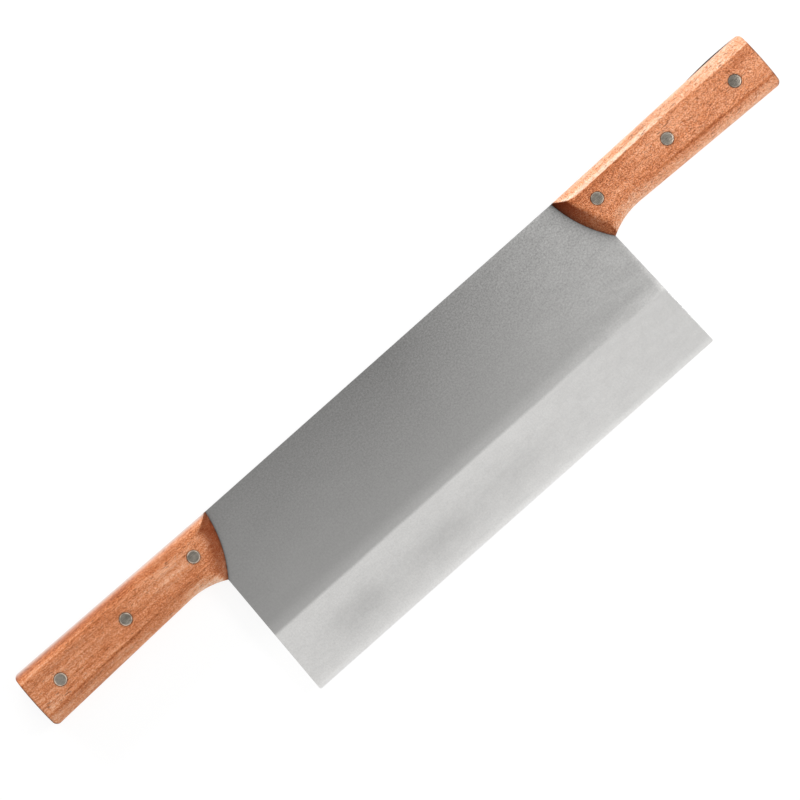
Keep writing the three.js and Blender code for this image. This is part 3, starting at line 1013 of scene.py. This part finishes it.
# Blade finish. Tones are shares of the light given back; lengths are in metres, as the frame's are.
# Pairs along the blade are for its left and right, and pairs up the flat for the spine and the grind line.
TOP_Y = SPINE_Y * MM
GRIND_Y = (SPINE_Y - BLADE_HEIGHT + GRIND_HEIGHT) * MM
EDGE_Y = (SPINE_Y - BLADE_HEIGHT) * MM
RIGHT_END = (HOOK_X + END_FLARE / 2) * MM
BLADE_REACH = 0.11  # half of the stretch over which tones change along the blade
GRIND_WAVER = dict(cells=(30, 0, 0), detail=3, levels=(0.3, 0.7, -0.0002, 0.0002))
BAND_RANGE = (0.0009, -0.0013)  # heights from the grind line over which the flat gives way to the band
FLAT_REACH = 0.070  # height of the flat above the grind line
# painted reflection: the flat's tone rises from the spine to the grind line
FLAT_TONES = (0.26, 0.372)
FLAT_LEVELS = (0.985, 1.08)  # factors on these tones in the middle of the blade, as painted reflection
LEFT_LEVELS = (0.18, -0.02)  # added to them at the left, as painted reflection
RIGHT_LEVELS = (0.50, -0.02)  # and at the right, where the painted reflection is brightest
GRIND_HIGHLIGHT_REACH = 0.009
GRIND_HIGHLIGHT = 0.085  # painted highlight added just above the grind line
BRIGHT_END_REACH = 0.004
BRIGHT_END = 0.35  # brightening added along the right end
SPINE_LIGHT_REACH = 0.003
SPINE_LIGHT = 0.2  # painted light added along the spine at the right
SWIRL = dict(cells=(60, 140, 140), detail=3, distortion=1.5, turn=0.7, levels=(0.3, 0.7, -1.0, 1.0))
SWIRL_DEPTH = (0.4, 1.0, 0.012, 0.06)  # from the middle to the right
HAZE = dict(cells=(24, 40, 40), levels=(0.3, 0.7, 0.98, 1.02))
BAND_TONES = (0.83, 0.805, 0.595)  # at the left, in the middle and at the right
BAND_FADE = 0.03  # where the band begins to darken towards the right
HONED_RANGE = (0.0090, 0.0020)  # heights above the edge over which its honed strip comes in
HONED_TONES = (1.07, 1.03)  # of that strip, against the band
EDGE_HIGHLIGHT_RANGE = (0.0035, 0.0005)  # likewise for the painted highlight on the very edge
EDGE_HIGHLIGHT_TONES = (1.12, 1.22)  # of the very edge's painted highlight, against that strip
SMEAR = dict(cells=(120, 300, 300), detail=3, levels=(0.3, 0.7, 0.972, 1.028))
# Grey clouds in the band: centre along the blade and from the spine, half length, half height, and darkening
CLOUDS = (
    (-0.092, -0.0915, 0.023, 0.0085, 0.19),
    (-0.039, -0.0915, 0.022, 0.0085, 0.18),
    (0.016, -0.0910, 0.030, 0.0090, 0.13),
)
CLOUD_DRIFT_CELLS = (60, 60, 60)
CLOUD_DRIFT = (0.016, 0.007, 0)
# Painted shadow on the plate beside the wood: share taken from the tone and how far it reaches
WOOD_SHADOW_DEPTH = (0.65, 0.56)
WOOD_SHADOW_REACH = (0.0005, 0.0024)
WOOD_SHADOW_MOST = 0.8
END_SHADE = (0.2, 0.5, 1.0, 0.75)  # on faces that look sideways, as the blade's ends do
UPWARD = 0.5  # above which a face looks upward
# painted shade: the tang's faces under the wood, seen only where it stands proud, are near black
TANG_SHADE = 0.03
SPECKLE = dict(cells=(1000, 1000, 1000), detail=4, roughness=0.8)
SPECKLE_LEVELS = (0.25, 0.75, -1.0, 1.0)
FLAT_GRIT = (0.30, 0.10)  # depth of the speckle
FLAT_GRIT_ALONG = (0.75, 1.7)  # factor on it
BAND_GRIT = (0.11, 0.08)
HAIR = dict(cells=(3800, 90, 90), detail=3, roughness=0.6)
HAIR_LEVELS = (0.25, 0.75, 0.97, 1.03)
STEEL_ROUGHNESS = (0.2, 0.8, 0.42, 0.46)
BAND_POLISH = 0.12  # taken from the roughness on the band
SPECKLE_RELIEF = 0.6  # against the hairlines
STEEL_BUMP = (0.00002, 0.35)
STEEL_TINT = (1.0, 0.990, 0.972, 1)


def cloud_shade(place):
    """How much the clouds darken the band."""
    x, y, _ = place.drifted(CLOUD_DRIFT_CELLS, CLOUD_DRIFT).split()
    shade = 0.0
    for along, depth, half_length, half_height, darkening in CLOUDS:
        far_x = (x - along) / half_length
        far_y = (y - (TOP_Y + depth)) / half_height
        shade = shade + (far_x * far_x + far_y * far_y).fading() * darkening
    return shade


def front_end_distance(x, y):
    """Distance on the plate from the wood's front ends, negative under the wood."""
    before_centre = (abs(x) - front_centre[0] * MM).math("MINIMUM", 0.0)
    below_centre = y - (SPINE_Y + front_centre[1]) * MM
    return length(before_centre, below_centre) - FRONT_RADIUS * MM


def painted_wood_shadow(x, y):
    """Share of the tone that the painted shadow leaves beside the wood's front ends."""
    right = x.math("GREATER_THAN", 0.0)
    fall = (front_end_distance(x, y) / right.blend(*WOOD_SHADOW_REACH)).fading()
    return 1.0 - (fall * right.blend(*WOOD_SHADOW_DEPTH)).math("MINIMUM", WOOD_SHADOW_MOST)


def flat_tone(place, height, rise):
    """Tone of the flat, with a painted reflection: brighter towards the grind line and, near the spine,
    towards both ends.
    """
    x, y, _ = place.split()
    left = x.fit(0.0, -BLADE_REACH)
    right = x.fit(0.0, BLADE_REACH)
    # painted highlight just above the grind line
    grind_highlight = height.fit(GRIND_HIGHLIGHT_REACH, 0.0, smooth_step=True)
    tone = rise.blend(*FLAT_TONES) + grind_highlight * GRIND_HIGHLIGHT
    # painted reflection, brighter towards the ends
    level = rise.blend(*FLAT_LEVELS) + left * rise.blend(*LEFT_LEVELS) + right * rise.blend(*RIGHT_LEVELS)
    bright_end = x.fit(RIGHT_END - BRIGHT_END_REACH, RIGHT_END, smooth_step=True) * BRIGHT_END
    # painted light along the spine at the right
    spine_light = right * y.fit(TOP_Y - SPINE_LIGHT_REACH, TOP_Y) * SPINE_LIGHT
    waves = 1.0 + place.noise(**SWIRL) * right.fit(*SWIRL_DEPTH)
    # painted shadow of the wood on the plate
    return tone * (level + bright_end + spine_light) * waves * place.noise(**HAZE) * painted_wood_shadow(x, y)


def band_tone(place, along):
    """Tone of the ground band: darker towards the right, clouded, and brightest along the edge, where a
    highlight is painted.
    """
    x, y, _ = place.split()
    left, middle, right = BAND_TONES
    tone = x.fit(-BLADE_REACH, 0.0, left, middle) * x.fit(BAND_FADE, RIGHT_END, 1.0, right / middle)
    above_edge = y - EDGE_Y
    honed = above_edge.fit(*HONED_RANGE, smooth_step=True).blend(1.0, along.blend(*HONED_TONES))
    # painted highlight on the very edge
    edge_highlight = above_edge.fit(*EDGE_HIGHLIGHT_RANGE).blend(1.0, along.blend(*EDGE_HIGHLIGHT_TONES))
    return tone * (1.0 - cloud_shade(place)) * honed * edge_highlight * place.noise(**SMEAR)


def blade_steel():
    """Satin plate with a brighter ground band, fine speckle and hairlines, and painted shade under the wood.
    """
    nodes = Nodes(bpy.data.materials.new("blade_steel"))
    place = nodes.coordinates["Object"]
    x, y, _ = place.split()
    along = x.fit(-BLADE_REACH, BLADE_REACH)
    height = y - GRIND_Y + place.noise(**GRIND_WAVER)
    rise = height.fit(FLAT_REACH, 0.0)
    band = height.fit(*BAND_RANGE, smooth_step=True)
    tone = band.blend(flat_tone(place, height, rise), band_tone(place, along))
    sideways, _, upward = nodes.coordinates["Normal"].split()
    tone = tone * abs(sideways).fit(*END_SHADE)
    # painted shade on the tang's faces under the wood
    under_wood = abs(upward).math("GREATER_THAN", UPWARD) * front_end_distance(x, y).math("LESS_THAN", 0.0)
    tone = under_wood.blend(tone, TANG_SHADE)

    speckle = place.noise(**SPECKLE)
    hair = place.noise(**HAIR)
    grit = band.blend(rise.blend(*FLAT_GRIT) * along.blend(*FLAT_GRIT_ALONG), along.blend(*BAND_GRIT))
    tone = tone * (1.0 + grit * speckle.fit(*SPECKLE_LEVELS)) * hair.fit(*HAIR_LEVELS)
    relief = speckle * SPECKLE_RELIEF + hair
    return nodes.finish({
        "Base Color": tone.tinted(STEEL_TINT),
        "Metallic": 1.0,
        "Roughness": speckle.fit(*STEEL_ROUGHNESS) - band * BAND_POLISH,
        "Normal": relief.bump(*STEEL_BUMP),
    })


# Rivet finish
RIVET_METAL = srgb(146, 139, 129)
# colour of the painted highlight on the rims
RIVET_HIGHLIGHT = srgb(250, 226, 204)
SCRATCHES = dict(cells=(90, 4200, 900), detail=3)
SCRATCH_TONES = (0.25, 0.75, 0.78, 1.2)
RIVET_STAINS = dict(cells=(420, 420, 420), detail=3, levels=(0.3, 0.7, 0.7, 1.25))
# patches of that painted highlight
HIGHLIGHT_PATCHES = dict(cells=(330, 330, 330), detail=1, levels=(0.4, 0.6, 0.3, 1.0))
RIVET_ROUGHNESS = (0.2, 0.8, 0.18, 0.32)
RIVET_BUMP = (0.00002, 0.4)


def rivet_steel():
    """Grey steel sanded flush with the wood: scratches along the grip, darker specks and a painted highlight
    on the rims.
    """
    nodes = Nodes(bpy.data.materials.new("rivet_steel"))
    place = nodes.coordinates["Object"]
    scratch = place.noise(**SCRATCHES)
    # painted shade and light on single rivets
    brightness = 1.0 - nodes.stored("rivet_light_and_shade")
    tone = scratch.fit(*SCRATCH_TONES) * place.noise(**RIVET_STAINS) * brightness
    # painted highlight in patches on the rims
    metal = (nodes.stored("rim") * place.noise(**HIGHLIGHT_PATCHES)).mix(RIVET_METAL, RIVET_HIGHLIGHT)
    return nodes.finish({
        "Base Color": tone.tinted(metal),
        "Metallic": 1.0,
        "Roughness": scratch.fit(*RIVET_ROUGHNESS),
        "Normal": scratch.bump(*RIVET_BUMP),
    })


# Assembly


def place_piece(piece, node, material):
    piece.data.materials.clear()
    piece.data.materials.append(material)
    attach(piece, "root")
    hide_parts(node)


def build_knife():
    place_piece(blade_shape(), "blade", blade_steel())
    metal = rivet_steel()
    for side in SIDES:
        for face in FACES:
            name = f"{side}_{face}_wood"
            piece = scale_shape(name, side, face, LOOKS[side])
            place_piece(piece, f"{side}_{face}_scale", wood(name, side, *LOGS[side, face]))
        for place in RIVETS:
            for half in ("sleeve", "pin"):
                node = f"{side}_{place}_rivet_{half}"
                place_piece(rivet_shape(f"{node}_metal", side, place, half), node, metal)


# Stage, in metres
FLOOR_SIZE = 4.0
FLOOR_GAP = 0.0002
FLOOR_COLOUR = grey(0.2)
FLOOR_SEEN = 0.86  # light of its own towards the camera and mirrors, so that the floor looks white
FLOOR_BOUNCE = 0.6  # and towards matt surfaces
CEILING_RANGE = (0.1, 0.95)  # of how far up a ray goes, from the horizon to the ceiling
ZENITH_SEEN = 0.9  # brightness of the studio's ceiling in mirrors; its horizon is white
AMBIENT_HORIZON = 0.15
AMBIENT_ZENITH = 1.05
# Soft boxes: place and aim, size along and across, power in watts, and whether metal mirrors them
LIGHTS = {
    "back_strip": ((0.12, 0.95, 0.33), (0.05, 0.0, 0.01), (1.4, 0.35), 11.0, False),
    "belly_strip": ((0.30, -0.95, 0.22), (0.10, 0.0, 0.01), (1.0, 0.3), 3.4, False),
    "overhead": ((0.46, -0.12, 0.60), (0.10, -0.02, 0.01), (0.26, 0.26), 1.8, True),
}


def seen_rays(nodes):
    """Whether a ray comes from the camera, and whether from the camera, a mirror or a clear material."""
    path = nodes.outputs("ShaderNodeLightPath")
    camera = path["Is Camera Ray"]
    mirrors = path["Is Glossy Ray"].math("MAXIMUM", path["Is Transmission Ray"])
    return camera, camera.math("MAXIMUM", mirrors)


def build_floor():
    half = FLOOR_SIZE / 2
    corners = [(-half, -half), (half, -half), (half, half), (-half, half)]
    floor = new_object("floor", [(x, y, -FLOOR_GAP) for x, y in corners], [(0, 1, 2, 3)])
    nodes = Nodes(bpy.data.materials.new("floor_white"))
    _, seen = seen_rays(nodes)
    matt = nodes.add("ShaderNodeBsdfDiffuse", {"Color": FLOOR_COLOUR})
    lift = nodes.add("ShaderNodeEmission", {"Strength": seen.blend(FLOOR_BOUNCE, FLOOR_SEEN)})
    both = nodes.add("ShaderNodeAddShader", (matt, lift))
    nodes.outputs("ShaderNodeOutputMaterial", {"Surface": both})
    floor.data.materials.append(nodes.holder)


def build_world():
    nodes = Nodes(bpy.data.worlds.new("studio"))
    camera, seen = seen_rays(nodes)
    upward = nodes.coordinates["Generated"].split()[2]
    mirrored = seen * upward.fit(*CEILING_RANGE, 1.0, ZENITH_SEEN, smooth_step=True)
    ambient = (1.0 - seen) * (upward * upward).blend(AMBIENT_HORIZON, AMBIENT_ZENITH)
    strength = camera.math("MAXIMUM", mirrored + ambient)
    background = nodes.add("ShaderNodeBackground", {"Strength": strength})
    nodes.outputs("ShaderNodeOutputWorld", {"Surface": background})
    bpy.context.scene.world = nodes.holder


def build_lights():
    for name, (place, aim, size, power, mirrored) in LIGHTS.items():
        lamp = bpy.data.lights.new(name, "AREA")
        lamp.shape = "RECTANGLE"
        lamp.size, lamp.size_y = size
        lamp.energy = power
        holder = bpy.data.objects.new(name, lamp)
        holder.location = place
        holder.rotation_mode = "QUATERNION"
        holder.rotation_quaternion = (Vector(aim) - Vector(place)).to_track_quat("-Z", "Y")
        holder.visible_camera = False
        holder.visible_glossy = mirrored
        bpy.context.scene.collection.objects.link(holder)


def build_camera():
    data = bpy.data.cameras.new("camera")
    data.lens = LENS
    data.sensor_width = SENSOR
    span = PHOTO_PIXELS * PIXEL_SIZE * MM
    distance = span * LENS / SENSOR
    camera = bpy.data.objects.new("camera", data)
    across, up = VIEW_CENTRE
    camera.location = (across * MM, (SPINE_Y + up) * MM, blade_high.z * MM + distance)
    camera.rotation_euler = (0, 0, -PHOTO_TURN)
    bpy.context.scene.collection.objects.link(camera)
    bpy.context.scene.camera = camera


build_knife()
build_floor()
build_world()
build_lights()
build_camera()
bpy.context.scene.view_settings.view_transform = "Standard"
